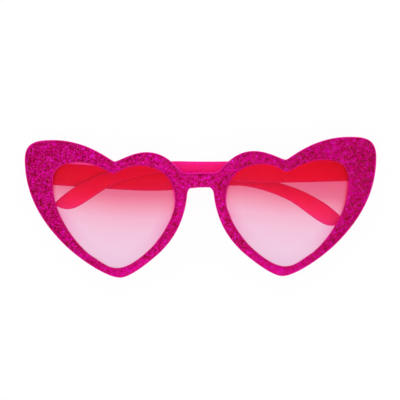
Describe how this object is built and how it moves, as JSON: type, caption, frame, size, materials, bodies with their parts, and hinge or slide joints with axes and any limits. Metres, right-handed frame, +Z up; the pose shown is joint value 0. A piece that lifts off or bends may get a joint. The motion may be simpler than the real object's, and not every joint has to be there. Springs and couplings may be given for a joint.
{
  "type": "heart shaped sunglasses",
  "caption": "Heart shaped sunglasses with a glittered cat-eye front, tinted lenses, moulded nose pads and two folding arms on barrel hinges.",
  "frame": {"origin": "under the middle of the whole part, on the surface it rests on", "axes": "+X towards the arm hinge on the right as seen in the picture, +Y towards the brow, +Z up from the table, the way the lenses face"},
  "size_m": [0.1506, 0.0592, 0.018],
  "materials": {
    "pink_plastic": "glossy translucent hot pink",
    "pink_glitter": "magenta and lilac glitter under clear lacquer",
    "rose_lens": "rose tint, deeper at the top",
    "arm_plastic": "glossy hot pink",
    "hinge_steel": "plain stamped steel",
    "screw_steel": "bright turned steel"
  },
  "bodies": {
    "front": {"front_frame": "pink_plastic", "glitter_face": "pink_glitter", "lens_left": "rose_lens", "lens_right": "rose_lens", "front_hinge_left": "hinge_steel", "front_hinge_right": "hinge_steel", "hinge_screw_left": "screw_steel", "hinge_screw_right": "screw_steel"},
    "left_arm": {"temple_left": "arm_plastic", "temple_hinge_left": "hinge_steel"},
    "right_arm": {"temple_right": "arm_plastic", "temple_hinge_right": "hinge_steel"}
  },
  "joints": [
    {"name": "left_arm_hinge", "type": "hinge", "parent": "front", "child": "left_arm", "pos_m": [-0.06905, 0.01523, 0.00475], "axis": [0.0384, 0.9993, 0], "range_deg": [0, 90.79]},
    {"name": "right_arm_hinge", "type": "hinge", "parent": "front", "child": "right_arm", "pos_m": [0.06902, 0.01523, 0.00767], "axis": [-0.0279, -0.9996, 0.0002], "range_deg": [0, 93.47]}
  ]
}
